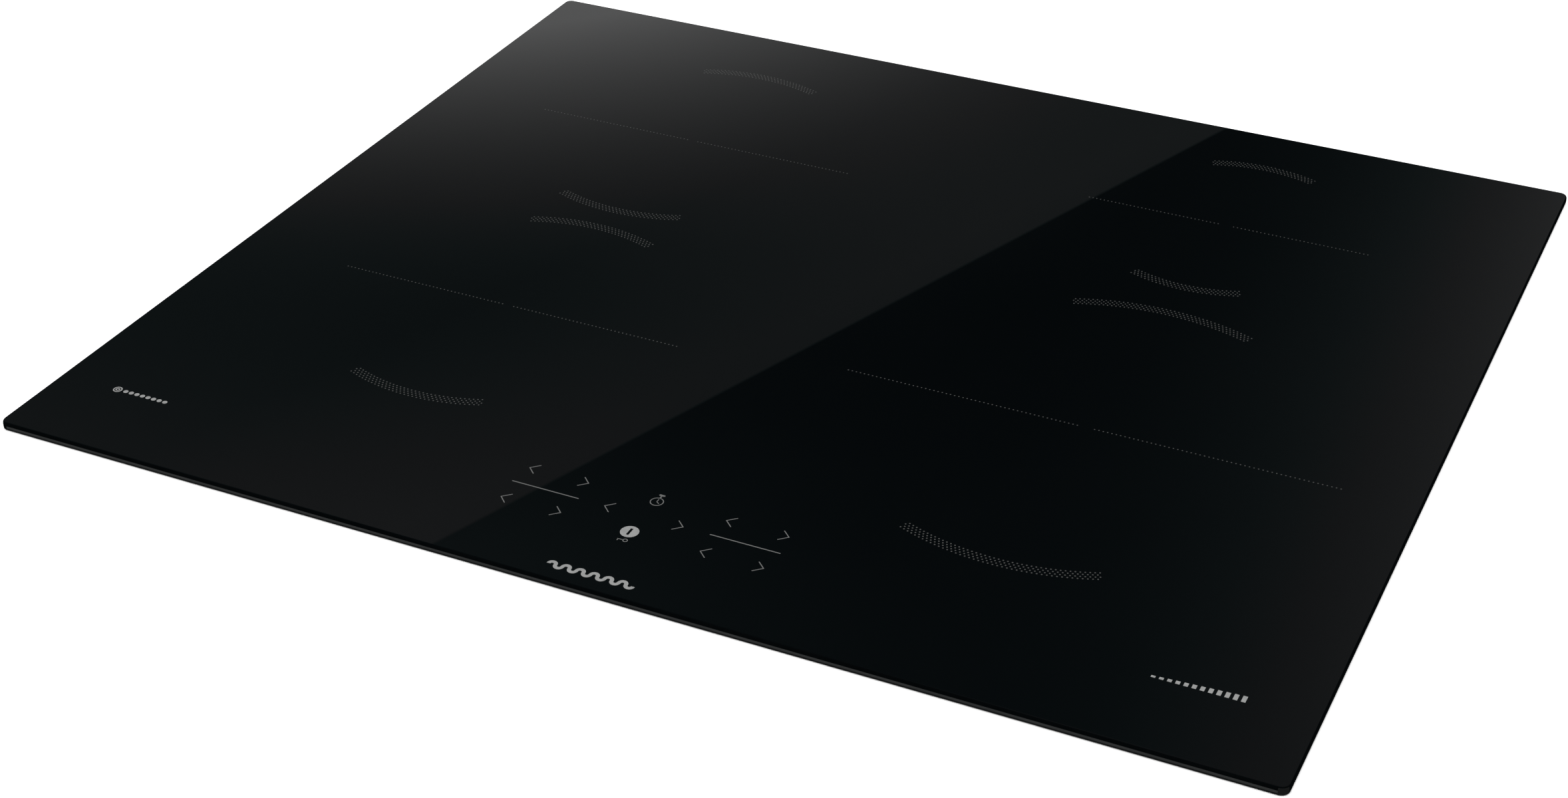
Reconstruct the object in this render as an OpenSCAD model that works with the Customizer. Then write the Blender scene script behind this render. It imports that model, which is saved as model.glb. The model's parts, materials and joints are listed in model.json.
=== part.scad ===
// Built-in electric induction cooktop: a glass-ceramic plate over a flat steel housing.
// Origin: centre of the housing's underside. +Z points up and -Y towards the user.

/* [Glass] */
// Width of the glass plate, left to right
glass_w = 595; // [592:1:604]
// Depth of the glass plate, front to back
glass_d = 520; // [518:1:530]
// Thickness of the glass plate
glass_t = 4; // [3:0.5:6]
// Radius of the plate's corners
glass_corner_r = 4; // [2:0.5:8]
// Bevel ground along the plate's edges
glass_bevel = 0.6; // [0.3:0.1:1]
// Thickness of the foam seal under the plate's edge
seal_t = 2; // [1.5:0.1:2.5]

/* [Printed marks] */
// Thickness of the printed enamel
print_t = 0.05; // [0.04:0.01:0.1]
// Width of a zone's printed arcs
arc_band = 5.5; // [3:0.5:8]
// Half of the angle that a printed arc covers
arc_half_angle = 23; // [15:1:30]
// Width of a zone's printed centre line
zone_line_w = 1; // [0.6:0.1:2]
// Width of the strokes in the key symbols
stroke_w = 0.5; // [0.4:0.05:0.8]

/* [Cooking zones] */
// Diameter of the two left zones
zone_left_d = 181.5; // [170:0.5:184]
// Diameter of the rear right zone
zone_rear_right_d = 145.5; // [130:0.5:147]
// Diameter of the front right zone
zone_front_right_d = 231.5; // [210:0.5:232]
// Distance from a zone's printed edge to its winding
winding_inset = 7; // [6:0.5:12]
// Thickness of a flat winding
winding_t = 4; // [3:0.5:4.5]

/* [Housing] */
// Width of the steel tray
tray_w = 552; // [551:1:553]
// Depth of the steel tray, front to back
tray_d = 482; // [481:1:483]
// Depth of the cooktop below the glass
depth_below_glass = 50; // [50:1:54]
// Sheet thickness of the tray
sheet_t = 0.8; // [0.7:0.1:1]
// Width of a ventilation slot
vent_w = 3.2; // [2.5:0.1:3.6]

/* [Cooling] */
// Outer radius of a fan's impeller
impeller_r = 38.5; // [36:0.5:40]
// Number of impeller blades
blade_count = 24; // [16:1:30]
// Number of cooling fins on a heat sink
fin_count = 11; // [7:1:13]

/* [Coil carriers] */
// Thickness of an aluminium coil carrier
carrier_t = 1.5; // [1.2:0.1:2]
// Distance that a sprung coil carrier can sink
carrier_travel = 3; // [1:0.5:3]
// Outer radius of a carrier spring
carrier_spring_r = 4.5; // [3.5:0.5:4.5]

/* [Connection] */
// Radius of the bore for the supply cable
cable_bore_r = 7; // [5:0.5:7]
// Number of poles in the terminal block
pole_count = 6; // [4:1:6]

/* [Clips] */
// Width of a spring clip's leaf
clip_w = 22; // [16:1:23]
// Thickness of a spring clip's leaf
clip_t = 0.8; // [0.6:0.1:1]

/* [Hidden] */

$fn = 64;
left = -1;
right = 1;
cut = 1;              // how far a cutting shape runs past the face that it opens
press_gap = 0.02;     // radial gap of a pin or screw that doesn't turn
running_gap = 0.06;   // radial gap of a shaft that turns
body_gap = 0.3;       // gap between pieces that move past each other

// Levels above the underside of the tray
glass_z = depth_below_glass;
glass_top_z = glass_z + glass_t;
carrier_z = glass_z - 13.5;
ferrite_z = carrier_z + carrier_t;
ferrite_t = 4;
former_z = ferrite_z + ferrite_t;
former_floor_t = 2;
mica_t = 0.5;
mica_z = glass_z - body_gap - mica_t;
winding_z = former_z + former_floor_t;
parts_top_z = carrier_z - carrier_travel - 1;

// Glass, seal and the rails that hold the plate on the tray
seal_w = 9;
seal_inset = 2;
bead_t = 0.4;
rail_t = 1.2;
rail_flange = 10;
rail_leg = 10;
rail_top_z = glass_z - bead_t;
rail_side_length = 450;
rail_front_length = 516;

// Tray and its screws
tray_h = glass_z - 3;
tray_corner_r = 3;
screw_r = 2;
screw_head_r = 3.5;
screw_head_t = 2.2;
screw_z = glass_z - 7;
side_screw_y = [-180, 0, 180];
front_screw_x = [-200, 0, 200];

// Cooking zones: [x, y, diameter, number of ferrite bars]
zone_rear_left = [-143.2, 122.2, zone_left_d, 8];
zone_front_left = [-143.2, -73.4, zone_left_d, 8];
zone_rear_right = [146.4, 151.1, zone_rear_right_d, 6];
zone_front_right = [146.4, -58.6, zone_front_right_d, 10];
zones = [zone_rear_left, zone_front_left, zone_rear_right, zone_front_right];
line_gap_left = 5.5;
line_gap_right = 7.5;
line_overrun = 1;
hub_r = 20;
lip_t = 2;
winding_inner_r = hub_r + lip_t + 2;
sensor_r = 8;
lead_r = 1.6;
lead_spread = 8;
lead_gap = 6.5;

// Printed keys: two groups of two rows, and one pair of arrows between them
key_row_y = [-191.9, -216.5];
key_middle_y = -204;
key_group_x = 47.9;
arrow_offset = 12.8;
middle_arrow_x = 17;
arrow_w = 3.6;
arrow_h = 6.8;
group_line_length = 32.4;

// Power modules, one under each coil carrier: the spans of a module on the right
module_x = [37, 262];
module_y = [-175, 128];
board_z = 8;
board_t = 1.6;
board_top_z = board_z + board_t;
sink_x = [62, 122];
sink_y = [-100, 118];
sink_base_t = 4;

// Mains filter between the left power module and the terminal box
filter_x = [-262, -148];
filter_y = [134, 192];
filter_z = 6;

// Fans
fan_x = 92;
fan_y = 186;
scroll_r = 46;
scroll_wall = 1.6;
scroll_h = 26;
fan_outlet_w = 60;
fan_axle_r = 2;
stator_r = 11;

// Terminal box in the rear wall
box_x = [-258, -162];
box_y = [196, 240.8];
box_z = [3, 32];
box_wall = 2;
box_rim_y = tray_d / 2 + 1.2;
cover_x = [-259, -189];
hinge_y = tray_d / 2 + 3.8;
hinge_z = 4.4;
hinge_pin_r = 1.2;
gland_x = -176.5;
gland_z = 17.5;
block_x = -255;
block_y = [198, 212];
block_z = [7, 29];
pole_pitch = 10;
pole_screw_z = 23;

// Touch control under the front of the glass
touch_x = 79;
touch_y = [-229, -180];
touch_board_z = glass_z - 7;
touch_wall = 2;
ribbon_x = [-68, -56];
ribbon_y = [-191, -160];

// Spring clips on the side walls: their distance from the middle along Y, and their hinge pin
clip_y = 120;
clip_pivot_x = tray_w / 2 + 2.6;
clip_pivot_z = 12;
clip_pin_r = 1.2;

// Carrier springs: their places on the right
carrier_spring_places = [[30.5, -165], [266.5, -165], [30.5, 215], [266.5, 215]];

function winding_r(zone) = zone[2] / 2 - winding_inset;
function former_r(zone) = winding_r(zone) + lip_t + 1;
function mid(span) = (span[0] + span[1]) / 2;
function around(middle, reach) = [middle - reach, middle + reach];

// A coil's lead drops beside its former, towards the middle of the power board.
function lead_angle(zone) = zone[1] < 0 ? 90 - sign(zone[0]) * 40 : -90 + sign(zone[0]) * 40;
function lead_place(zone) =
    [zone[0] + (former_r(zone) + lead_gap) * cos(lead_angle(zone)),
     zone[1] + (former_r(zone) + lead_gap) * sin(lead_angle(zone))];

// ---------- shapes that repeat ----------

module span_box(x, y, z) {
    translate([x[0], y[0], z[0]]) cube([x[1] - x[0], y[1] - y[0], z[1] - z[0]]);
}

// Places a module that is drawn for the right half on either side.
module on_side(side) {
    if (side == right) children();
    else mirror([1, 0, 0]) children();
}

module rounded_rect(w, d, r) {
    square([w - 2 * r, d], center = true);
    square([w, d - 2 * r], center = true);
    for (sx = [-1, 1], sy = [-1, 1])
        translate([sx * (w / 2 - r), sy * (d / 2 - r)]) circle(r);
}

module stadium(length, width) {
    square([length - width, width], center = true);
    for (s = [-1, 1]) translate([s * (length - width) / 2, 0]) circle(width / 2, $fn = 24);
}

module tube(r_out, r_in, h) {
    difference() {
        cylinder(r = r_out, h = h);
        translate([0, 0, -cut]) cylinder(r = r_in, h = h + 2 * cut);
    }
}

// A straight bar of the given width between two points of a plane.
module bar(from, to, width) {
    run = to - from;
    translate(from) rotate(atan2(run[1], run[0])) translate([0, -width / 2]) square([norm(run), width]);
}

// A pan-head screw with a cross recess, pointing along -Z from its head's seat at z = 0.
module screw(shank_r, shank_length, head_r, head_t) {
    slot = head_r / 3;
    difference() {
        union() {
            translate([0, 0, -shank_length]) cylinder(r = shank_r, h = shank_length + head_t / 2);
            cylinder(r = head_r, h = head_t);
        }
        for (a = [0, 90]) rotate(a)
            translate([-head_r * 0.6, -slot / 2, head_t / 2]) cube([head_r * 1.2, slot, head_t]);
    }
}

// ---------- glass plate, its print, seal and rails ----------

module bevelled_section(length) {
    half = length / 2;
    b = glass_bevel;
    polygon([
        [-half, b], [-half + b, 0], [half - b, 0], [half, b],
        [half, glass_t - b], [half - b, glass_t], [-half + b, glass_t], [-half, glass_t - b]
    ]);
}

// The marks lie flush in the top face, so that the plate stays flat.
module glass_plate() {
    color([0.03, 0.04, 0.04]) difference() {
        translate([0, 0, glass_z]) intersection() {
            linear_extrude(glass_t) rounded_rect(glass_w, glass_d, glass_corner_r);
            rotate([90, 0, 0]) linear_extrude(glass_d + cut, center = true) bevelled_section(glass_w);
            rotate([90, 0, 90]) linear_extrude(glass_w + cut, center = true) bevelled_section(glass_d);
        }
        translate([0, 0, glass_top_z - print_t]) linear_extrude(print_t + cut) all_marks();
    }
}

module zone_arc(zone) {
    r = zone[2] / 2;
    reach = r * 1.5;
    intersection() {
        difference() {
            circle(r, $fn = 180);
            circle(r - arc_band, $fn = 180);
        }
        polygon([
            [0, 0],
            [-reach * sin(arc_half_angle), reach * cos(arc_half_angle)],
            [reach * sin(arc_half_angle), reach * cos(arc_half_angle)]
        ]);
    }
}

module zone_mark(zone) {
    line_start = (zone[0] < 0 ? line_gap_left : line_gap_right) / 2;
    line_length = zone[2] / 2 + line_overrun - line_start;
    translate([zone[0], zone[1]])
        for (turn = [0, 180]) rotate(turn) {
            zone_arc(zone);
            translate([line_start, -zone_line_w / 2]) square([line_length, zone_line_w]);
        }
}

// An arrow head that points to the given side, with its middle at the origin.
module arrow(side) {
    for (s = [-1, 1])
        bar([side * arrow_w / 2, 0], [-side * arrow_w / 2, s * arrow_h / 2], stroke_w);
}

module ring_2d(r, width) {
    difference() {
        circle(r, $fn = 48);
        circle(r - width, $fn = 48);
    }
}

module timer_symbol() {
    ring_2d(3, stroke_w);
    bar([0, -0.3], [0, 1.9], stroke_w);
    bar([0, 0], [1.3, -0.7], stroke_w);
    translate([-0.4, 2.9]) square([0.8, 1.5]);
    translate([-1.1, 4.2]) square([2.2, 1.6]);
}

module power_symbol() {
    difference() {
        circle(4.4, $fn = 64);
        rotate(90) stadium(5.2, 1);
    }
}

module lock_symbol() {
    translate([1.1, 0]) ring_2d(1.2, stroke_w * 0.8);
    bar([0.1, 0.2], [-2.2, 0.2], stroke_w);
    bar([-2, 0.2], [-2, -1.1], stroke_w);
}

// A generic wave line: half rings that bulge up and down by turns.
module wave_line(count, r, width) {
    for (i = [0 : count - 1]) translate([(2 * i - count + 1) * r, 0])
        intersection() {
            ring_2d(r + width / 2, width);
            translate([-2 * r, i % 2 == 0 ? 0 : -2 * r]) square([4 * r, 2 * r]);
        }
}

// A generic coil mark: a flat coil seen from above, and a row of dots beside it.
module coil_mark(dots, pitch) {
    for (r = [2.2, 1.1]) ring_2d(r, 0.6);
    for (i = [1 : dots]) translate([1.4 + i * pitch, 0]) circle(1.2, $fn = 24);
}

// A generic level mark: bars that rise from left to right.
module level_mark(bars, pitch) {
    for (i = [0 : bars - 1]) translate([i * pitch, 0]) square([1.8, 1.2 + i * 0.25]);
}

module key_marks() {
    for (side = [left, right]) translate([side * key_group_x, 0]) {
        for (y = key_row_y, s = [-1, 1]) translate([s * arrow_offset, y]) arrow(s);
        translate([-group_line_length / 2, key_middle_y - stroke_w / 2])
            square([group_line_length, stroke_w]);
    }
    for (s = [-1, 1]) translate([s * middle_arrow_x, key_middle_y]) arrow(s);
    translate([0, key_row_y[0]]) timer_symbol();
    translate([0, key_row_y[1]]) power_symbol();
    translate([0, key_row_y[1] - 6.6]) lock_symbol();
}

module badge_marks() {
    translate([0, -250.5]) wave_line(12, 1.65, 1.7);
    translate([-265.8, -215.5]) coil_mark(8, 3.1);
    translate([230, -217.5]) level_mark(12, 3.3);
}

module all_marks() {
    for (zone = zones) zone_mark(zone);
    key_marks();
    badge_marks();
}

module glass_print() {
    color("gainsboro") translate([0, 0, glass_top_z - print_t]) linear_extrude(print_t) all_marks();
}

module edge_seal() {
    w = glass_w - 2 * seal_inset;
    d = glass_d - 2 * seal_inset;
    color("dimgray") translate([0, 0, glass_z - seal_t]) linear_extrude(seal_t)
        difference() {
            rounded_rect(w, d, glass_corner_r);
            rounded_rect(w - 2 * seal_w, d - 2 * seal_w, glass_corner_r);
        }
}

// Angle rail along Y with its outer face at x = 0, its flange pointing to -X.
module rail(length, screw_places) {
    difference() {
        union() {
            translate([-rail_t, -length / 2, rail_top_z - rail_leg]) cube([rail_t, length, rail_leg]);
            translate([-rail_flange, -length / 2, rail_top_z - rail_t]) cube([rail_flange, length, rail_t]);
        }
        for (y = screw_places)
            translate([-rail_t - cut, y, screw_z]) rotate([0, 90, 0])
                cylinder(r = screw_r + press_gap, h = rail_t + 2 * cut);
    }
}

// Places rails or beads along the four walls of the tray.
module along_walls() {
    for (a = [0, 180]) rotate(a) translate([tray_w / 2 - sheet_t, 0, 0]) children(0);
    for (a = [90, 270]) rotate(a) translate([tray_d / 2 - sheet_t, 0, 0]) children(1);
}

module glass_rails() {
    color("silver") along_walls() {
        rail(rail_side_length, side_screw_y);
        rail(rail_front_length, front_screw_x);
    }
}

module bead(length) {
    translate([-rail_flange + 1, -length / 2 + 2, rail_top_z]) cube([rail_flange - 2, length - 4, bead_t]);
}

module silicone_beads() {
    color("black") along_walls() {
        bead(rail_side_length);
        bead(rail_front_length);
    }
}

// ---------- steel tray ----------

module slot_row(count, pitch, length) {
    for (i = [0 : count - 1]) translate([(i - (count - 1) / 2) * pitch, 0]) rotate(90) stadium(length, vent_w);
}

// Slots that fill a circle over a fan's inlet.
module inlet_grille(r, pitch) {
    rows = floor(r / pitch);
    for (i = [-rows : rows]) translate([0, i * pitch]) stadium(2 * sqrt(r * r - pow(i * pitch, 2)), vent_w);
}

module floor_vents() {
    for (side = [left, right]) {
        translate([side * fan_x, fan_y]) inlet_grille(impeller_r - 3, 6.4);
        translate([side * fan_x, -206]) slot_row(12, 7, 26);
    }
}

module front_wall_vents() {
    for (side = [left, right]) translate([side * fan_x, 22]) slot_row(14, 7, 18);
}

module side_wall_vents() {
    translate([0, 24]) slot_row(16, 7, 16);
}

module tray_screw_holes() {
    r = screw_r + 0.25;
    for (y = side_screw_y) translate([0, y, screw_z]) rotate([0, 90, 0])
        cylinder(r = r, h = tray_w + 2 * cut, center = true);
    for (x = front_screw_x) translate([x, 0, screw_z]) rotate([90, 0, 0])
        cylinder(r = r, h = tray_d + 2 * cut, center = true);
}

module bottom_tray() {
    inner_w = tray_w - 2 * sheet_t;
    inner_d = tray_d - 2 * sheet_t;
    color("lightslategray") difference() {
        linear_extrude(tray_h) rounded_rect(tray_w, tray_d, tray_corner_r);
        translate([0, 0, sheet_t]) linear_extrude(tray_h)
            rounded_rect(inner_w, inner_d, tray_corner_r - sheet_t);
        translate([0, 0, -cut]) linear_extrude(sheet_t + 2 * cut) floor_vents();
        translate([0, -inner_d / 2 + cut, 0]) rotate([90, 0, 0])
            linear_extrude(sheet_t + 2 * cut) front_wall_vents();
        rotate([90, 0, 90]) linear_extrude(tray_w + 2 * cut, center = true) side_wall_vents();
        tray_screw_holes();
        span_box(box_x + [-0.4, 0.4], [inner_d / 2 - cut, tray_d / 2 + cut], box_z + [-0.4, 0.4]);
    }
}

module tray_screws() {
    color("silver") {
        for (side = [0, 180], y = side_screw_y) rotate(side) translate([tray_w / 2, y, screw_z])
            rotate([0, 90, 0]) screw(screw_r, 7, screw_head_r, screw_head_t);
        for (side = [0, 180], x = front_screw_x) rotate(side) translate([x, -tray_d / 2, screw_z])
            rotate([90, 0, 0]) screw(screw_r, 7, screw_head_r, screw_head_t);
    }
}

// ---------- power electronics ----------

module module_posts(r, z) {
    for (x = [module_x[0] + 12, module_x[1] - 12], y = [module_y[0] + 12, mid(module_y), module_y[1] - 12])
        translate([x, y, z[0]]) cylinder(r = r, h = z[1] - z[0]);
}

module board_tray() {
    wall = 2;
    color("dimgray") difference() {
        union() {
            difference() {
                span_box(module_x, module_y, [sheet_t, board_top_z + 2]);
                span_box(module_x + [wall, -wall], module_y + [wall, -wall],
                         [sheet_t + wall, board_top_z + 2 + cut]);
            }
            module_posts(4, [sheet_t + wall / 2, board_z]);
        }
        module_posts(1.3, [sheet_t + wall, board_z + cut]);
    }
}

module power_board() {
    edge = 4;
    color("darkgreen") difference() {
        span_box(module_x + [edge, -edge], module_y + [edge, -edge], [board_z, board_top_z]);
        module_posts(1.6, [board_z - cut, board_top_z + cut]);
    }
}

module heat_sink() {
    w = sink_x[1] - sink_x[0];
    fin_t = 1.6;
    fin_h = parts_top_z - board_top_z;
    pitch = (w - fin_t) / (fin_count - 1);
    color("silver") translate([sink_x[0], sink_y[1], board_top_z]) rotate([90, 0, 0])
        linear_extrude(sink_y[1] - sink_y[0]) {
            square([w, sink_base_t]);
            for (i = [0 : fin_count - 1]) translate([i * pitch, 0]) square([fin_t, fin_h]);
        }
}

module transistor(w) {
    h = 15;
    leg_h = 5;
    translate([0, -w / 2, board_top_z + leg_h]) cube([5, w, h]);
    for (i = [-1, 0, 1]) translate([2, i * w / 3.2 - 0.6, board_top_z]) cube([0.8, 1.2, leg_h + 1]);
}

module power_transistors() {
    color("black") for (side = [left, right]) on_side(side) {
        for (i = [0 : 3]) translate([sink_x[1], -80 + i * 30, 0]) transistor(16);
        translate([sink_x[1], 50, 0]) transistor(24);
    }
}

module power_capacitors() {
    top = parts_top_z - board_top_z;
    color("khaki") for (side = [left, right]) on_side(side) {
        for (i = [0 : 3]) translate([140, -120 + i * 36, board_top_z]) cube([19, 32, top - 3]);
        translate([140, 40, board_top_z]) cube([28, 42, top - 1]);
    }
}

module power_choke() {
    cylinder(r = 24, h = 1.5);
    translate([0, 0, 1.2]) rotate_extrude($fn = 96) translate([15.5, 8]) circle(8);
}

module power_chokes() {
    color("peru") for (side = [left, right]) on_side(side)
        for (y = [-110, -60]) translate([205, y, board_top_z]) power_choke();
}

// Two brass studs stand under each coil's leads.
module lead_pair_places(zone) {
    place = lead_place(zone);
    for (s = [-1, 1]) translate([place[0] + s * lead_spread / 2, place[1], 0]) children();
}

module coil_terminals() {
    color("goldenrod") for (zone = zones) lead_pair_places(zone) translate([0, 0, board_top_z]) {
        cylinder(r = 3, h = 2, $fn = 6);
        cylinder(r = 2, h = 4);
    }
}

module coil_leads(zone_list) {
    color("ivory") for (zone = zone_list) lead_pair_places(zone)
        translate([0, 0, board_top_z + 4]) cylinder(r = lead_r, h = winding_z + 1 - board_top_z - 4);
}

module filter_board() {
    post_inset = 6;
    color("darkgreen") {
        span_box(filter_x, filter_y, [filter_z, filter_z + board_t]);
        for (x = filter_x + [post_inset, -post_inset], y = filter_y + [post_inset, -post_inset])
            translate([x, y, sheet_t]) cylinder(r = 3, h = filter_z - sheet_t);
    }
}

// A ring choke, two film capacitors, a relay and a round varistor.
module filter_parts() {
    varistor_r = 7;
    color("khaki") translate([filter_x[0], filter_y[0], filter_z + board_t]) {
        translate([24, 28, 0]) tube(17, 8, 15);
        for (x = [48, 66]) translate([x, 8, 0]) cube([14, 32, 22]);
        translate([84, 8, 0]) cube([22, 28, 16]);
        translate([92, 46, varistor_r]) rotate([90, 0, 0]) cylinder(r = varistor_r, h = 5);
    }
}

// ---------- fans ----------

module fan_housing() {
    top_z = sheet_t + scroll_h;
    outlet_y = module_y[1] + 2;
    color([0.12, 0.12, 0.13]) translate([fan_x, 0, 0]) {
        difference() {
            union() {
                translate([0, fan_y, sheet_t]) cylinder(r = scroll_r, h = scroll_h, $fn = 96);
                span_box([-fan_outlet_w / 2, fan_outlet_w / 2], [outlet_y, fan_y], [sheet_t, top_z]);
            }
            translate([0, fan_y, sheet_t + scroll_wall])
                cylinder(r = scroll_r - scroll_wall, h = scroll_h - 2 * scroll_wall, $fn = 96);
            span_box([-fan_outlet_w / 2 + scroll_wall, fan_outlet_w / 2 - scroll_wall],
                     [outlet_y - cut, fan_y], [sheet_t + scroll_wall, top_z - scroll_wall]);
            translate([0, fan_y, sheet_t - cut]) cylinder(r = impeller_r - 3, h = scroll_wall + 2 * cut);
        }
        translate([0, fan_y, 0]) {
            translate([0, 0, top_z - scroll_wall - 8]) cylinder(r = stator_r, h = 8.5);
            translate([0, 0, 5]) cylinder(r = fan_axle_r, h = top_z - scroll_wall - 5);
        }
    }
}

module fan_rotor() {
    cup_r = stator_r + 3;
    plate_z = 21.5;
    ring_w = 9;
    color("dimgray") translate([fan_x, fan_y, 0]) {
        difference() {
            union() {
                translate([0, 0, 8]) cylinder(r = cup_r, h = plate_z + 1.2 - 8);
                translate([0, 0, plate_z]) cylinder(r = impeller_r, h = 1.2);
            }
            translate([0, 0, 10]) cylinder(r = stator_r + 1, h = scroll_h);
            translate([0, 0, 8 - cut]) cylinder(r = fan_axle_r + running_gap, h = 4);
        }
        translate([0, 0, 4]) tube(impeller_r, impeller_r - ring_w, 1.2);
        for (i = [0 : blade_count - 1]) rotate(i * 360 / blade_count)
            translate([impeller_r - ring_w + 0.5, 0, 4.6]) rotate(25)
                cube([ring_w - 2, 1.2, plate_z - 4]);
    }
}

// ---------- supply connection ----------

module terminal_box() {
    inner_y = box_y[0] + box_wall;
    color([0.1, 0.1, 0.1]) difference() {
        union() {
            span_box(box_x, [box_y[0], box_rim_y], box_z);
            span_box(box_x + [-3, 3], [tray_d / 2, box_rim_y], box_z + [-2, 2]);
            for (x = [cover_x[0] + 0.7, cover_x[1] - 3.7]) {
                translate([x, hinge_y, hinge_z]) rotate([0, 90, 0]) cylinder(r = 2.6, h = 3);
                span_box([x, x + 3], [box_rim_y - 0.5, hinge_y], around(hinge_z, 2.6));
            }
        }
        span_box([box_x[0] + box_wall, cover_x[1] - 1], [inner_y, box_rim_y + cut],
                 box_z + [box_wall + 2, -box_wall]);
        span_box([cover_x[1] - 1 - cut, box_x[1] - box_wall], [inner_y, box_rim_y - 2.4],
                 box_z + [box_wall, -box_wall]);
        translate([gland_x, box_rim_y - 3, gland_z]) rotate([-90, 0, 0])
            cylinder(r = cable_bore_r + 1.5 + press_gap, h = 5);
        translate([cover_x[0], hinge_y, hinge_z]) rotate([0, 90, 0])
            cylinder(r = hinge_pin_r + press_gap, h = cover_x[1] - cover_x[0]);
    }
}

module cover_pin() {
    color("silver") translate([cover_x[0] + 0.7, hinge_y, hinge_z]) rotate([0, 90, 0])
        cylinder(r = hinge_pin_r, h = cover_x[1] - cover_x[0] - 1.4);
}

module terminal_cover() {
    plate_y = [box_rim_y + body_gap, box_rim_y + body_gap + 1.8];
    barrel_x = cover_x + [4.5, -4.5];
    color([0.13, 0.13, 0.13]) difference() {
        union() {
            span_box(cover_x, plate_y, [hinge_z + 3.4, box_z[1] + 1]);
            span_box(barrel_x, plate_y, [hinge_z, hinge_z + 4]);
            translate([barrel_x[0], hinge_y, hinge_z]) rotate([0, 90, 0])
                cylinder(r = 2.2, h = barrel_x[1] - barrel_x[0]);
            span_box(around(mid(cover_x), 8), plate_y + [1, 2.2], [box_z[1] - 1.5, box_z[1] + 1]);
            for (i = [-2 : 2]) translate([mid(cover_x) + i * 9, plate_y[1], 20])
                rotate([90, 0, 0]) linear_extrude(2, center = true) rotate(90) stadium(14, 1.6);
        }
        translate([cover_x[0], hinge_y, hinge_z]) rotate([0, 90, 0])
            cylinder(r = hinge_pin_r + running_gap, h = cover_x[1] - cover_x[0]);
    }
}

module pole_places() {
    for (i = [0 : pole_count - 1]) translate([block_x + (i + 0.5) * pole_pitch, 0, 0]) children();
}

module terminal_block() {
    w = pole_count * pole_pitch;
    color("whitesmoke") difference() {
        union() {
            span_box([block_x, block_x + w], block_y, block_z);
            for (i = [0 : pole_count])
                translate([block_x + i * (pole_pitch - 1.2 / pole_count), block_y[0], block_z[0]])
                    cube([1.2, block_y[1] - block_y[0] + 5, block_z[1] - block_z[0]]);
        }
        pole_places() {
            translate([0, block_y[1] - 8, pole_screw_z]) rotate([-90, 0, 0])
                cylinder(r = screw_r + press_gap, h = 9);
            translate([0, block_y[1] - 8, 12.5]) rotate([-90, 0, 0]) cylinder(r = 2.6, h = 9);
        }
        span_box([block_x + 5, block_x + 5 + pole_pitch], [block_y[1], block_y[1] + 6],
                 around(pole_screw_z, 3.3));
    }
}

module terminal_links() {
    plate = [block_y[1], block_y[1] + 1];
    color("goldenrod") difference() {
        union() {
            pole_places() span_box([-3.6, 3.6], plate, around(pole_screw_z, 4));
            span_box([block_x + 5, block_x + 5 + pole_pitch], plate + [1, 1], around(pole_screw_z, 3));
        }
        pole_places() translate([0, block_y[1] - cut, pole_screw_z]) rotate([-90, 0, 0])
            cylinder(r = screw_r + press_gap, h = 4);
    }
}

module terminal_screws() {
    color("silver") for (i = [0 : pole_count - 1]) {
        seat = block_y[1] + (i < 2 ? 2 : 1);
        translate([block_x + (i + 0.5) * pole_pitch, seat, pole_screw_z]) rotate([-90, 0, 0])
            screw(screw_r, 7, 3.2, 2.4);
    }
}

module cable_gland() {
    thread_r = cable_bore_r + 1.5;
    inner_y = box_rim_y - 2.4;
    color([0.08, 0.08, 0.08]) translate([gland_x, inner_y, gland_z]) rotate([-90, 0, 0])
        difference() {
            union() {
                translate([0, 0, -5]) cylinder(r = thread_r, h = 10);
                translate([0, 0, -3]) cylinder(r = thread_r + 3, h = 3, $fn = 6);
                translate([0, 0, 2.4]) cylinder(r = thread_r + 3, h = 4, $fn = 6);
                translate([0, 0, 6]) cylinder(r1 = thread_r + 2.4, r2 = thread_r, h = 9, $fn = 96);
            }
            translate([0, 0, -5 - cut]) cylinder(r = cable_bore_r, h = 20 + 2 * cut);
        }
}

// ---------- touch control ----------

module touch_frame() {
    wall = touch_wall;
    ledge = 4;
    leg_inset = 5;
    floor_z = touch_board_z - 6;
    top_z = touch_board_z + 4;
    x = [-touch_x, touch_x];
    color([0.15, 0.15, 0.15]) {
        difference() {
            span_box(x, touch_y, [floor_z, top_z]);
            span_box(x + [wall, -wall], touch_y + [wall, -wall], [touch_board_z, top_z + cut]);
            span_box(x + [ledge, -ledge], touch_y + [ledge, -ledge], [floor_z + wall, touch_board_z + cut]);
            span_box(ribbon_x + [-2, 2], around(ribbon_y[0], 3), [floor_z - cut, floor_z + wall + cut]);
        }
        for (leg_x = x + [leg_inset, -leg_inset], leg_y = touch_y + [leg_inset, -leg_inset])
            translate([leg_x, leg_y, sheet_t]) cylinder(r = 4, h = floor_z - sheet_t + wall / 2);
    }
}

module touch_board() {
    inset = touch_wall + 0.5;
    color("darkgreen") span_box([-touch_x + inset, touch_x - inset], touch_y + [inset, -inset],
                                [touch_board_z, touch_board_z + board_t]);
}

// A contact spring stands under each printed key.
module key_places() {
    for (side = [left, right], y = key_row_y, s = [-1, 1])
        translate([side * key_group_x + s * arrow_offset, y, 0]) children();
    for (s = [-1, 1]) translate([s * middle_arrow_x, key_middle_y, 0]) children();
    for (y = key_row_y) translate([0, y, 0]) children();
}

module touch_springs() {
    color("gold") key_places() translate([0, 0, touch_board_z + board_t])
        tube(3.6, 2.8, glass_z - touch_board_z - board_t);
}

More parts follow.
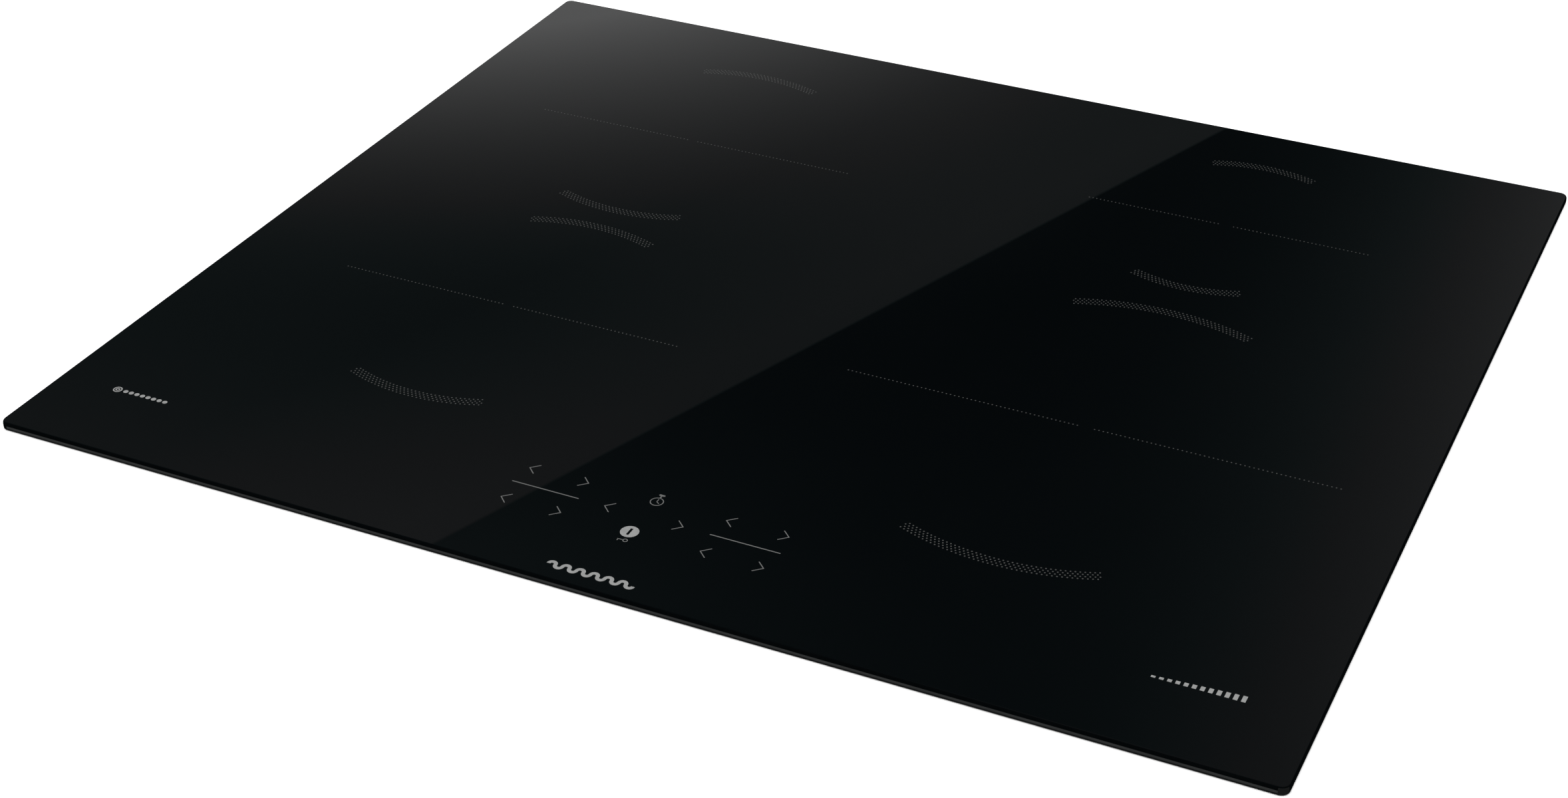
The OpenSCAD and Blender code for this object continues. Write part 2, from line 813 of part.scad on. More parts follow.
module led_displays() {
    size = [15, 10, glass_z - touch_board_z - board_t - 0.4];
    color("darkred") translate([0, 0, touch_board_z + board_t]) {
        for (side = [left, right], y = key_row_y)
            translate([side * key_group_x - size[0] / 2, y - size[1] / 2, 0]) cube(size);
        translate([-size[0] / 2, key_middle_y - size[1] / 2 + 0.4, 0]) cube([size[0], 9, size[2]]);
    }
}

module touch_ribbon() {
    y = ribbon_y;
    t = 1;
    top_z = board_top_z + 4;
    color("lightgray") {
        span_box(ribbon_x, [y[0], y[0] + t], [top_z - t, touch_board_z]);
        span_box(ribbon_x, y, [top_z - t, top_z]);
        span_box(ribbon_x, [y[1] - t, y[1]], [board_top_z, top_z]);
    }
}

// ---------- coils on their sprung carriers ----------

module coil_carrier(side_zones, side) {
    x = [25, 272];
    y = [-172, 225];
    color("gainsboro") difference() {
        on_side(side) span_box(x, y, [carrier_z, ferrite_z]);
        for (zone = side_zones) {
            translate([zone[0], zone[1], carrier_z - cut]) cylinder(r = sensor_r + 1, h = carrier_t + 2 * cut);
            place = lead_place(zone);
            translate([place[0], place[1], carrier_z - cut]) linear_extrude(carrier_t + 2 * cut)
                stadium(lead_spread + 2 * lead_r + 3, 2 * lead_r + 3);
        }
    }
}

module carrier_springs(side) {
    color("silver") on_side(side) for (place = carrier_spring_places)
        translate([place[0], place[1], sheet_t])
            tube(carrier_spring_r, carrier_spring_r - 1.1, carrier_z - sheet_t);
}

module coil_former(zone) {
    r = former_r(zone);
    lip_h = mica_z - former_z;
    color("dimgray") translate([zone[0], zone[1], former_z]) {
        tube(r, hub_r, former_floor_t);
        tube(r, r - lip_t, lip_h);
        tube(hub_r + lip_t, hub_r, lip_h);
        for (i = [0 : 2]) rotate(i * 120 + 18)
            translate([r - 5, 0, -ferrite_t]) cylinder(r = 3, h = ferrite_t + 1);
    }
}

module winding(zone) {
    color("chocolate") translate([zone[0], zone[1], winding_z])
        tube(winding_r(zone), winding_inner_r, winding_t);
}

module ferrites(zone_list) {
    bar_w = 13;
    color([0.2, 0.2, 0.21]) for (zone = zone_list)
        translate([zone[0], zone[1], ferrite_z])
            for (i = [0 : zone[3] - 1]) rotate(i * 360 / zone[3])
                translate([hub_r + 4, -bar_w / 2, 0]) cube([winding_r(zone) - hub_r - 14, bar_w, ferrite_t]);
}

module mica(zone_list) {
    color("tan") for (zone = zone_list) translate([zone[0], zone[1], mica_z])
        tube(former_r(zone), sensor_r + 2, mica_t);
}

module sensors(zone_list) {
    color("darkorange") for (zone = zone_list) translate([zone[0], zone[1], carrier_z - 2]) {
        cylinder(r = sensor_r, h = glass_z - body_gap - carrier_z + 2);
        translate([0, 0, 2 + carrier_t]) tube(hub_r - 1, sensor_r - 1, 3);
    }
}

// ---------- spring clips ----------

// Profile of a clip in a plane across the wall, for the right side: x out from the wall, y up.
module clip_profile() {
    pivot = [clip_pivot_x, clip_pivot_z];
    bow = pivot + [4.2, 21];
    free_end = pivot + [2.6, 29];
    circle_r = clip_pin_r + running_gap + clip_t;
    difference() {
        union() {
            translate(pivot) circle(circle_r, $fn = 48);
            bar(pivot + [circle_r - clip_t / 2, 0], bow, clip_t);
            translate(bow) circle(clip_t / 2, $fn = 24);
            bar(bow, free_end, clip_t);
            bar(pivot + [-0.6, -circle_r + clip_t / 2], pivot + [-1.7, -5], clip_t);
        }
        translate(pivot) circle(clip_pin_r + running_gap, $fn = 48);
    }
}

module clip(side, y) {
    color("lightsteelblue") on_side(side) translate([0, y, 0]) rotate([90, 0, 0])
        linear_extrude(clip_w, center = true) clip_profile();
}

module clip_bracket() {
    wall_x = tray_w / 2;
    ear_y = 12.5;
    ear_t = 1.2;
    span_box([wall_x, wall_x + 1], [-ear_y - ear_t, ear_y + ear_t], [17, 27]);
    for (s = [-1, 1]) {
        y = s > 0 ? [ear_y, ear_y + ear_t] : [-ear_y - ear_t, -ear_y];
        span_box([wall_x, wall_x + 4.6], y, [clip_pivot_z - 3, 27]);
        translate([clip_pivot_x, s * (ear_y - 2), clip_pivot_z]) rotate([90, 0, 0])
            cylinder(r = clip_pin_r, h = 5, center = true);
    }
}

module clip_brackets() {
    color("lightslategray") for (side = [left, right], s = [-1, 1])
        on_side(side) translate([0, s * clip_y, 0]) clip_bracket();
}

// ---------- assembly ----------

glass_plate();
glass_print();
edge_seal();
glass_rails();
silicone_beads();
bottom_tray();
tray_screws();
on_side(left) board_tray();  // board_tray_left
on_side(right) board_tray();  // board_tray_right
on_side(left) power_board();  // power_board_left
on_side(right) power_board();  // power_board_right
on_side(left) heat_sink();  // heat_sink_left
on_side(right) heat_sink();  // heat_sink_right
power_transistors();
power_capacitors();
power_chokes();
coil_terminals();
filter_board();
filter_parts();
on_side(left) fan_housing();  // fan_housing_left
on_side(right) fan_housing();  // fan_housing_right
on_side(left) fan_rotor();  // fan_rotor_left
on_side(right) fan_rotor();  // fan_rotor_right
terminal_box();
terminal_block();
terminal_screws();
terminal_links();
terminal_cover();
cover_pin();
cable_gland();
touch_frame();
touch_board();
touch_springs();
led_displays();
touch_ribbon();
coil_carrier([zone_rear_left, zone_front_left], left);  // coil_carrier_left
coil_carrier([zone_rear_right, zone_front_right], right);  // coil_carrier_right
carrier_springs(left);  // carrier_springs_left
carrier_springs(right);  // carrier_springs_right
coil_former(zone_rear_left);  // coil_former_rear_left
coil_former(zone_front_left);  // coil_former_front_left
coil_former(zone_rear_right);  // coil_former_rear_right
coil_former(zone_front_right);  // coil_former_front_right
winding(zone_rear_left);  // winding_rear_left
winding(zone_front_left);  // winding_front_left
winding(zone_rear_right);  // winding_rear_right
winding(zone_front_right);  // winding_front_right
ferrites([zone_rear_left, zone_front_left]);  // ferrites_left
ferrites([zone_rear_right, zone_front_right]);  // ferrites_right
mica([zone_rear_left, zone_front_left]);  // mica_left
mica([zone_rear_right, zone_front_right]);  // mica_right
sensors([zone_rear_left, zone_front_left]);  // sensors_left
sensors([zone_rear_right, zone_front_right]);  // sensors_right
coil_leads([zone_rear_left, zone_front_left]);  // coil_leads_left
coil_leads([zone_rear_right, zone_front_right]);  // coil_leads_right
clip_brackets();
clip(left, -clip_y);  // clip_front_left
clip(right, -clip_y);  // clip_front_right
clip(left, clip_y);  // clip_rear_left
clip(right, clip_y);  // clip_rear_right
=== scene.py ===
"""The looks of a built-in induction cooktop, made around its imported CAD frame.

Lengths are in millimetres until a mesh is made: Blender's own unit is the metre.
+Z is up, -Y is the user's side, and the origin is under the middle of the housing.
"""

import json
import math

import bpy
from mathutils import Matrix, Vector


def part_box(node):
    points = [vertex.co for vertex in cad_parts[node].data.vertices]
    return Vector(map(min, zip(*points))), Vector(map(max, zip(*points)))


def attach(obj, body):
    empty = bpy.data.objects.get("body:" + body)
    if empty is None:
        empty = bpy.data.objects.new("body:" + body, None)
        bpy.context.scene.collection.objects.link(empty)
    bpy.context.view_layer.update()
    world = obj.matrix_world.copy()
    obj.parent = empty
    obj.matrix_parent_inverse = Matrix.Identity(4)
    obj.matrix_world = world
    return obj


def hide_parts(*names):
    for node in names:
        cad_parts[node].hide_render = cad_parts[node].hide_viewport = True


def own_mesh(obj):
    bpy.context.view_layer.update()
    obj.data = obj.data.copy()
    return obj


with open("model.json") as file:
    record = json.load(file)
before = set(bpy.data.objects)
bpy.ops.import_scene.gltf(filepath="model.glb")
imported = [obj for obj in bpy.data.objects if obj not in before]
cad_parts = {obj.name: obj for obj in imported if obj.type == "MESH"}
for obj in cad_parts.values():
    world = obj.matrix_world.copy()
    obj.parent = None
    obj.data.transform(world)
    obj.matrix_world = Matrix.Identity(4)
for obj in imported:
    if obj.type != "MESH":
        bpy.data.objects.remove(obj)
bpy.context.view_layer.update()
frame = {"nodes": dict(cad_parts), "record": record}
scene = bpy.context.scene

MM = 0.001
FULL_TURN = 2 * math.pi
UP = Vector((0, 0, 1))
SIDES = {"left": -1, "right": 1}
CORNERS = ("rear_left", "front_left", "rear_right", "front_right")


def box_mm(node):
    """Lowest and highest corner of a CAD node in millimetres."""
    low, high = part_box(node)
    return low / MM, high / MM


# ---------- node trees ----------


class Graph:
    """A node tree that is built with short calls."""

    def __init__(self, tree):
        self.tree = tree
        tree.nodes.clear()

    def feed(self, socket, value):
        if isinstance(value, bpy.types.NodeSocket):
            self.tree.links.new(value, socket)
        else:
            socket.default_value = value

    def node(self, kind, inputs=None, **settings):
        made = self.tree.nodes.new(kind)
        for key, value in settings.items():
            setattr(made, key, value)
        for key, value in (inputs or {}).items():
            self.feed(made.inputs[key], value)
        return made

    def maths(self, operation, *values):
        made = self.node("ShaderNodeMath", operation=operation)
        for socket, value in zip(made.inputs, values):
            self.feed(socket, value)
        return made.outputs[0]

    def ramp(self, value, start, end, low=0.0, high=1.0, smooth=False):
        """value carried from start..end to low..high, and held at those ends."""
        inputs = {"Value": value, "From Min": start, "From Max": end,
                  "To Min": low, "To Max": high}
        curve = "SMOOTHSTEP" if smooth else "LINEAR"
        return self.node("ShaderNodeMapRange", inputs, interpolation_type=curve).outputs[0]

    def colours(self, value, dark, light):
        made = self.node("ShaderNodeValToRGB", {0: value})
        made.color_ramp.elements[0].color = (*dark, 1)
        made.color_ramp.elements[1].color = (*light, 1)
        return made.outputs[0]

    def noise(self, place, scale, detail=4.0):
        inputs = {"Vector": place, "Scale": scale, "Detail": detail}
        return self.node("ShaderNodeTexNoise", inputs).outputs[0]

    def stretched(self, place, scale):
        return self.node("ShaderNodeMapping", {"Vector": place, "Scale": scale}).outputs[0]


# ---------- materials ----------

NOISE_SPAN = (0.3, 0.7)   # nearly all of a noise's values lie between these
GLOSS_SCALE = 0.07        # the patches of more and less gloss, against the grain of the relief
BUMP_STRENGTH = 0.6


def surface(name, dark, light, roughness, pattern, grain, relief, **fixed):
    """A material whose colour runs from dark to light by a pattern.

    Its gloss varies and it has a fine relief. roughness is (lowest, highest), grain is the
    relief's scale per metre and relief its depth in mm.
    """
    made = bpy.data.materials.new(name)
    made.use_nodes = True
    g = Graph(made.node_tree)
    shader = g.node("ShaderNodeBsdfPrincipled")
    for key, value in fixed.items():
        shader.inputs[key.replace("_", " ")].default_value = value
    g.node("ShaderNodeOutputMaterial", {"Surface": shader.outputs[0]})
    coordinates = g.node("ShaderNodeTexCoord")
    place = coordinates.outputs["Object"]
    tone, height = pattern(g, coordinates)
    fine = g.noise(place, grain, 2.0)
    gloss = g.noise(place, grain * GLOSS_SCALE, 3.0)
    g.feed(shader.inputs["Base Color"], g.colours(tone, dark, light))
    g.feed(shader.inputs["Roughness"], g.ramp(gloss, *NOISE_SPAN, *roughness))
    total = fine if height is None else g.maths("ADD", fine, height)
    inputs = {"Height": total, "Strength": BUMP_STRENGTH, "Distance": relief * MM}
    bump = g.node("ShaderNodeBump", inputs)
    g.feed(shader.inputs["Normal"], bump.outputs[0])
    return made


def clouds(scale):
    """Soft uneven patches."""
    def pattern(g, coordinates):
        return g.ramp(g.noise(coordinates.outputs["Object"], scale), *NOISE_SPAN), None
    return pattern


def spangle(scale):
    """The crystals of hot-dip zinc over soft patches."""
    def pattern(g, coordinates):
        place = coordinates.outputs["Object"]
        inputs = {"Vector": place, "Scale": scale, "Randomness": 1.0}
        crystals = g.node("ShaderNodeTexVoronoi", inputs)
        cell = g.node("ShaderNodeSeparateColor", {0: crystals.outputs["Color"]}).outputs[0]
        patch = g.noise(place, scale * 0.12)
        tone = g.maths("ADD", g.maths("MULTIPLY", cell, 0.55), g.maths("MULTIPLY", patch, 0.45))
        return tone, None
    return pattern


def brushed(along, across):
    """Fine lines along X of the object."""
    def pattern(g, coordinates):
        place = g.stretched(coordinates.outputs["Object"], (along, across, across))
        lines = g.noise(place, 1.0)
        return g.ramp(lines, *NOISE_SPAN), lines
    return pattern


def traces(scale):
    """The tracks of a circuit board under solder mask."""
    def pattern(g, coordinates):
        place = g.stretched(coordinates.outputs["Object"], (scale, scale, scale))
        inputs = {"Vector": place, "Scale": 1.0, "Mortar Size": 0.09, "Bias": 0.0,
                  "Color1": (0, 0, 0, 1), "Color2": (0.25, 0.25, 0.25, 1), "Mortar": (1, 1, 1, 1)}
        tracks = g.node("ShaderNodeTexBrick", inputs, offset_frequency=3, squash=0.5)
        return tracks.outputs[0], tracks.outputs[0]
    return pattern


def twisted(turns):
    """Strands that wind round a wire; the mesh's own coordinates run round it and along it."""
    def pattern(g, coordinates):
        apart = g.node("ShaderNodeSeparateXYZ", {0: coordinates.outputs["UV"]})
        slant = g.maths("ADD", g.maths("MULTIPLY", apart.outputs[0], turns), apart.outputs[1])
        wave = g.maths("ABSOLUTE", g.maths("SINE", g.maths("MULTIPLY", slant, math.pi)))
        return wave, wave
    return pattern


def make_materials():
    """One material for each of the record's slots, and more tones for the glass edge and print."""
    metal = {"Metallic": 1.0}
    plastic = {"Specular_IOR_Level": 0.4}
    glazed = {"Coat_Weight": 0.8, "Coat_Roughness": 0.02, "Specular_IOR_Level": 0.05}
    made = {
        "black_glass": surface("black_glass", (0.0003, 0.0007, 0.001), (0.0005, 0.0009, 0.0012),
                               (0.003, 0.008), clouds(9), 260, 0.00001, IOR=1.5),
        # painted reflection of the pale floor: the grey of the front's ground band, with almost no
        # gloss of its own
        "edge_painted_floor_reflection": surface("edge_painted_floor_reflection", (0.019, 0.02, 0.02), (0.024, 0.025, 0.025),
                               (0.3, 0.45), clouds(60), 2600, 0.01, Specular_IOR_Level=0.004),
        # painted shade under the plate's front edge: a darker copy of the ground edge, without
        # gloss
        "edge_painted_shade": surface("edge_painted_shade", (0.006, 0.0065, 0.0065), (0.008, 0.0085, 0.0085),
                             (0.3, 0.45), clouds(60), 2600, 0.01, Specular_IOR_Level=0.0),
        "edge_dark": surface("edge_dark", (0.0008, 0.0012, 0.0014), (0.0014, 0.0018, 0.002),
                             (0.12, 0.2), clouds(40), 1800, 0.004, Specular_IOR_Level=0.0),
        "print": surface("print", (0.16, 0.162, 0.16), (0.19, 0.192, 0.19),
                         (0.5, 0.65), clouds(400), 6000, 0.004, **glazed),
        "print_dim": surface("print_dim", (0.079, 0.08, 0.079), (0.097, 0.098, 0.097),
                             (0.5, 0.65), clouds(400), 6000, 0.004, **glazed),
        "print_grey": surface("print_grey", (0.038, 0.0385, 0.038), (0.046, 0.0465, 0.046),
                              (0.5, 0.65), clouds(400), 6000, 0.004, **glazed),
        "foam_seal": surface("foam_seal", (0.018, 0.018, 0.019), (0.04, 0.04, 0.042),
                             (0.85, 0.97), clouds(500), 2200, 0.35, Specular_IOR_Level=0.2),
        "aluminium": surface("aluminium", (0.56, 0.57, 0.58), (0.72, 0.73, 0.74),
                             (0.3, 0.45), brushed(40, 1600), 2500, 0.006, **metal),
        "silicone": surface("silicone", (0.015, 0.015, 0.016), (0.03, 0.03, 0.03),
                            (0.3, 0.42), clouds(80), 900, 0.05, **plastic),
        "galvanised_steel": surface("galvanised_steel", (0.34, 0.355, 0.37), (0.56, 0.575, 0.59),
                                    (0.34, 0.5), spangle(190), 1800, 0.012, **metal),
        "spring_steel": surface("spring_steel", (0.3, 0.31, 0.34), (0.44, 0.46, 0.5),
                                (0.24, 0.36), brushed(60, 2200), 2600, 0.006, **metal),
        "zinc_screw": surface("zinc_screw", (0.5, 0.51, 0.54), (0.74, 0.75, 0.78),
                              (0.22, 0.36), clouds(700), 3500, 0.01, **metal),
        "black_plastic": surface("black_plastic", (0.016, 0.016, 0.017), (0.03, 0.03, 0.032),
                                 (0.42, 0.58), clouds(50), 2800, 0.05, **plastic),
        "grey_plastic": surface("grey_plastic", (0.07, 0.072, 0.075), (0.11, 0.112, 0.115),
                                (0.42, 0.56), clouds(45), 2600, 0.04, **plastic),
        "white_plastic": surface("white_plastic", (0.66, 0.65, 0.61), (0.74, 0.73, 0.69),
                                 (0.4, 0.52), clouds(60), 2400, 0.03, **plastic),
        "circuit_board": surface("circuit_board", (0.008, 0.09, 0.035), (0.03, 0.2, 0.08),
                                 (0.25, 0.38), traces(110), 3000, 0.03, **plastic),
        "component_black": surface("component_black", (0.02, 0.02, 0.021), (0.045, 0.045, 0.046),
                                   (0.45, 0.6), clouds(300), 3800, 0.03, **plastic),
        "capacitor_film": surface("capacitor_film", (0.5, 0.36, 0.09), (0.62, 0.47, 0.14),
                                  (0.28, 0.4), clouds(90), 1800, 0.03, **plastic),
        "choke": surface("choke", (0.38, 0.13, 0.05), (0.62, 0.26, 0.11),
                         (0.25, 0.4), twisted(1), 2400, 0.01, Metallic=0.85),
        "brass": surface("brass", (0.55, 0.38, 0.14), (0.74, 0.56, 0.25),
                         (0.25, 0.38), clouds(300), 2600, 0.01, **metal),
        "copper_litz": surface("copper_litz", (0.3, 0.1, 0.045), (0.66, 0.29, 0.14),
                               (0.3, 0.45), twisted(3), 2600, 0.05, Metallic=0.8),
        "ferrite": surface("ferrite", (0.03, 0.03, 0.032), (0.06, 0.06, 0.063),
                           (0.5, 0.68), clouds(260), 2200, 0.06, **plastic),
        "mica": surface("mica", (0.34, 0.29, 0.2), (0.56, 0.5, 0.37),
                        (0.3, 0.46), clouds(130), 1400, 0.04, **plastic),
        "sensor_silicone": surface("sensor_silicone", (0.6, 0.17, 0.03), (0.72, 0.24, 0.06),
                                   (0.45, 0.6), clouds(200), 1600, 0.05, **plastic),
        "lead_sleeve": surface("lead_sleeve", (0.58, 0.56, 0.5), (0.7, 0.68, 0.62),
                               (0.6, 0.75), twisted(8), 2600, 0.2, **plastic),
        "display": surface("display", (0.02, 0.004, 0.004), (0.05, 0.01, 0.01),
                           (0.15, 0.25), clouds(150), 2000, 0.01, **plastic),
        "ribbon": surface("ribbon", (0.5, 0.5, 0.5), (0.62, 0.62, 0.62),
                          (0.4, 0.5), brushed(20, 900), 1500, 0.05, **plastic),
    }
    return made


MATERIALS = make_materials()


# ---------- mesh helpers ----------


def piece(name, points_mm, faces, material, body="housing", uvs=None, smooth=True):
    """A new object from points in millimetres that rides on a CAD body and has one material."""
    mesh = bpy.data.meshes.new(name)
    mesh.from_pydata([(x * MM, y * MM, z * MM) for x, y, z in points_mm], [], faces)
    mesh.polygons.foreach_set("use_smooth", [smooth] * len(mesh.polygons))
    if uvs:
        layer = mesh.uv_layers.new(name="UVMap")
        flat = [value for face_uvs in uvs for pair in face_uvs for value in pair]
        layer.data.foreach_set("uv", flat)
    mesh.materials.append(MATERIALS[material])
    made = bpy.data.objects.new(name, mesh)
    scene.collection.objects.link(made)
    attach(made, body)
    return made


WASHER_STEPS = 48


class Shapes:
    """Points and faces of several closed solids that make up one piece."""

    def __init__(self):
        self.points = []
        self.faces = []
        self.uvs = []

    def plate(self, outline, low, high):
        """A flat plate with the given outline, listed anticlockwise, between two heights."""
        count, first = len(outline), len(self.points)
        self.points += [(x, y, low) for x, y in outline] + [(x, y, high) for x, y in outline]
        bottom = [first + i for i in range(count)]
        top = [first + count + i for i in range(count)]
        self.faces.append(bottom[::-1])
        self.faces.append(top)
        for i in range(count):
            j = (i + 1) % count
            self.faces.append((bottom[i], bottom[j], top[j], top[i]))

    def washer(self, centre, outer, inner, low, high, steps=WASHER_STEPS):
        """A flat ring with its hole."""
        first = len(self.points)
        for radius, height in ((outer, low), (outer, high), (inner, high), (inner, low)):
            for i in range(steps):
                x, y = on_circle(centre, radius, FULL_TURN * i / steps)
                self.points.append((x, y, height))
        for ring in range(4):
            for i in range(steps):
                j, a, b = (i + 1) % steps, first + ring * steps, first + (ring + 1) % 4 * steps
                self.faces.append((a + i, a + j, b + j, b + i))

    def tube(self, path, radius, sides=8, reference=UP):
        """A round wire along a path.

        Its texture coordinates run round the wire and along it, one unit for each diameter.
        """
        path = [Vector(p) for p in path]
        first, run = len(self.points), 0.0
        runs = []
        for i, point in enumerate(path):
            ahead, behind = path[min(i + 1, len(path) - 1)], path[max(i - 1, 0)]
            along = (ahead - behind).normalized()
            across = along.cross(reference).normalized()
            normal = across.cross(along)
            run += (point - behind).length
            runs.append(run / (2 * radius))
            for k in range(sides):
                turn = FULL_TURN * k / sides
                out = math.cos(turn) * across + math.sin(turn) * normal
                self.points.append(tuple(point + radius * out))
        for i in range(len(path) - 1):
            for k in range(sides):
                j = (k + 1) % sides
                a, b = first + i * sides, first + (i + 1) * sides
                self.faces.append((a + k, a + j, b + j, b + k))
                u, v = k / sides, (k + 1) / sides
                self.uvs.append(((u, runs[i]), (v, runs[i]), (v, runs[i + 1]), (u, runs[i + 1])))
        last = first + (len(path) - 1) * sides
        for start, order in ((first, -1), (last, 1)):
            cap = [start + k for k in range(sides)][::order]
            self.faces.append(cap)
            self.uvs.append([(0.5, runs[0])] * sides)


def on_circle(centre, radius, angle):
    return centre[0] + radius * math.cos(angle), centre[1] + radius * math.sin(angle)


def stroke(points, width, steps=6):
    """Outline of a pen stroke of constant width with round ends through two or three points."""
    half = width / 2
    points = [Vector(p) for p in points]
    one_side, other_side = [], []
    for i, point in enumerate(points):
        before = points[i] - points[i - 1] if i else points[1] - points[0]
        after = points[i + 1] - points[i] if i + 1 < len(points) else before
        a, b = before.normalized(), after.normalized()
        across = Vector((-(a + b).y, (a + b).x)).normalized()
        reach = half / max(0.3, across.dot(Vector((-a.y, a.x))))
        one_side.append(point - across * reach)
        other_side.append(point + across * reach)
    start_turn = math.atan2(*(points[0] - points[1]).yx)
    end_turn = math.atan2(*(points[-1] - points[-2]).yx)
    caps = []
    for centre, turn in ((points[-1], end_turn), (points[0], start_turn)):
        turns = [turn + math.pi * (k / steps - 0.5) for k in range(1, steps)]
        caps.append([on_circle(centre, half, t) for t in turns])
    outline = one_side + caps[0] + other_side[::-1] + caps[1]
    return [(p[0], p[1]) for p in outline]


# ---------- glass plate ----------

GLASS_CORNER_R = 4.0
TOP_ROUND = (0.8, 1.75)      # how far the polished rounding reaches in and down from the top
BOTTOM_ROUND = (0.5, 1.15)   # and the ground one in and up from the underside
TOP_LEVELS, BOTTOM_LEVELS = 10, 6
CORNER_STEPS = 8
POLISHED_LEVELS = 2          # the rounding's highest levels, which look like the glass face
FACET_DROP = 5               # levels between the glass face and the ground corner facet
DARK, PAINTED_SHADE, PAINTED_REFLECTION = 1, 2, 3   # the edge's material slots: black, painted shade and painted reflection of the floor
GLASS_LOW, GLASS_HIGH = box_mm("glass_plate")


def plate_ring(inset, height):
    """The plate's rounded outline, drawn in by inset, at one height."""
    radius = GLASS_CORNER_R - inset
    points = []
    corners = ((1, 1, 0), (-1, 1, 1), (-1, -1, 2), (1, -1, 3))
    for side_x, side_y, quarter in corners:
        x = GLASS_HIGH.x - GLASS_CORNER_R if side_x > 0 else GLASS_LOW.x + GLASS_CORNER_R
        y = GLASS_HIGH.y - GLASS_CORNER_R if side_y > 0 else GLASS_LOW.y + GLASS_CORNER_R
        for i in range(CORNER_STEPS + 1):
            turn = math.pi / 2 * (quarter + i / CORNER_STEPS)
            points.append((*on_circle((x, y), radius, turn), height))
    return points


def quarter_round(reach, steps):
    """(inset, drop) along a rounding, from the flat face to the upright edge."""
    turns = [math.pi / 2 * i / steps for i in range(steps + 1)]
    return [(reach[0] * (1 - math.sin(t)), reach[1] * (1 - math.cos(t))) for t in turns]


def glass_pane():
    """The plate with its polished upper edge.

    Along the front the band below it is ground, its lighter grey painted reflection of the pale
    floor, and the rounding under it is painted shade; so is a facet at the front right corner.
    """
    bottom, top = GLASS_LOW.z, GLASS_HIGH.z
    lower = [(inset, bottom + rise) for inset, rise in quarter_round(BOTTOM_ROUND, BOTTOM_LEVELS)]
    upper = [(inset, top - drop) for inset, drop in quarter_round(TOP_ROUND, TOP_LEVELS)]
    rings = [plate_ring(inset, z) for inset, z in lower + upper[::-1]]
    count = len(rings[0])
    points = [p for ring in rings for p in ring]
    faces = [tuple(range(count))[::-1]]
    for level in range(len(rings) - 1):
        for i in range(count):
            j, a, b = (i + 1) % count, level * count, (level + 1) * count
            faces.append((a + i, a + j, b + j, b + i))
    faces.append(tuple((len(rings) - 1) * count + i for i in range(count)))
    made = piece("glass_pane", points, faces, "black_glass")
    for edge in ("edge_dark", "edge_painted_shade", "edge_painted_floor_reflection"):
        made.data.materials.append(MATERIALS[edge])
    levels, upright = len(rings) - 1, len(lower) - 1
    front = 3 * (CORNER_STEPS + 1) - 1    # the long face between the front corners
    for face in made.data.polygons:
        level, place = divmod(face.index - 1, count)
        face.use_smooth = 0 <= level < levels
        if not face.use_smooth or level >= levels - POLISHED_LEVELS:
            continue
        # The edge's tones go by side: painted reflection on the front's upright band, painted
        # shade on its lower rounding and a front right corner facet, black elsewhere.
        face.material_index = DARK
        if place == front and level <= upright:
            face.material_index = PAINTED_REFLECTION if level == upright else PAINTED_SHADE
        elif front < place < front + CORNER_STEPS - 1 and level < levels - FACET_DROP:
            face.material_index = PAINTED_SHADE
    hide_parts("glass_plate")


# ---------- printed marks ----------

PRINT_LOW = GLASS_HIGH.z - 0.01
PRINT_HIGH = GLASS_HIGH.z + 0.02
ARC_BAND = 5.3
ARC_HALF_ANGLE = math.radians(23)
WINDING_INSET = 7.0      # from a zone's printed edge to its winding
DOT_PITCH = 2.05
ARC_DOT_R = 0.38
LINE_DOT_R = 0.34
ARC_ROWS = 4
LINE_GAPS = {"left": 5.5, "right": 7.5}    # gaps at the middle of the zones' lines
LINE_OVERRUN = 1.0       # how far a line runs past its arcs
STROKE = 0.42
THIN_STROKE = 0.4
KEY_ROW_Y = (-191.9, -216.5)
KEY_MIDDLE_Y = -204.0
KEY_GROUP_X = 47.9
ARROW_OFFSET = 12.8
MIDDLE_ARROW_X = 17.0
ARROW_W, ARROW_H = 3.6, 6.8
GROUP_LINE, GROUP_STROKE = 32.4, 0.52
TIMER_R = 3.05
LOCK_DROP = 6.4          # from the power button's middle to the lock's
LOCK_X, LOCK_R, LOCK_HOLE_R = 1.3, 1.15, 0.75
POWER_R = 4.1
POWER_BAR = (0.6, 2.4)   # half the width and half the height of the bar left open
WAVE_Y, WAVES, WAVE_R, WAVE_STROKE = -250.5, 12, 1.65, 1.7
COIL_SPOT, COIL_RADII, COIL_STROKE = (-265.8, -215.5), (2.2, 1.1), 0.6
COIL_DOTS, COIL_DOT_R, COIL_DOT_START, COIL_DOT_PITCH = 8, 1.2, 1.4, 3.1
BAR_COUNT, BAR_W, BAR_SPOT, BAR_PITCH = 12, 1.8, (230, -217.5), 3.3
BAR_HEIGHT, BAR_GROWTH = 1.2, 0.25
DOT_SIDES, COIL_DOT_SIDES, SMALL_RING_SIDES = 8, 16, 32


def zone_of(corner):
    """(centre x, centre y, printed radius) of a cooking zone, from its winding."""
    low, high = box_mm("winding_" + corner)
    middle = (low + high) / 2
    return middle.x, middle.y, (high.x - low.x) / 2 + WINDING_INSET


def printed(shapes, outline):
    """One inked area, which starts just inside the glass."""
    shapes.plate(outline, PRINT_LOW, PRINT_HIGH)


def dot(shapes, centre, radius, sides=DOT_SIDES):
    printed(shapes, [on_circle(centre, radius, FULL_TURN * i / sides) for i in range(sides)])


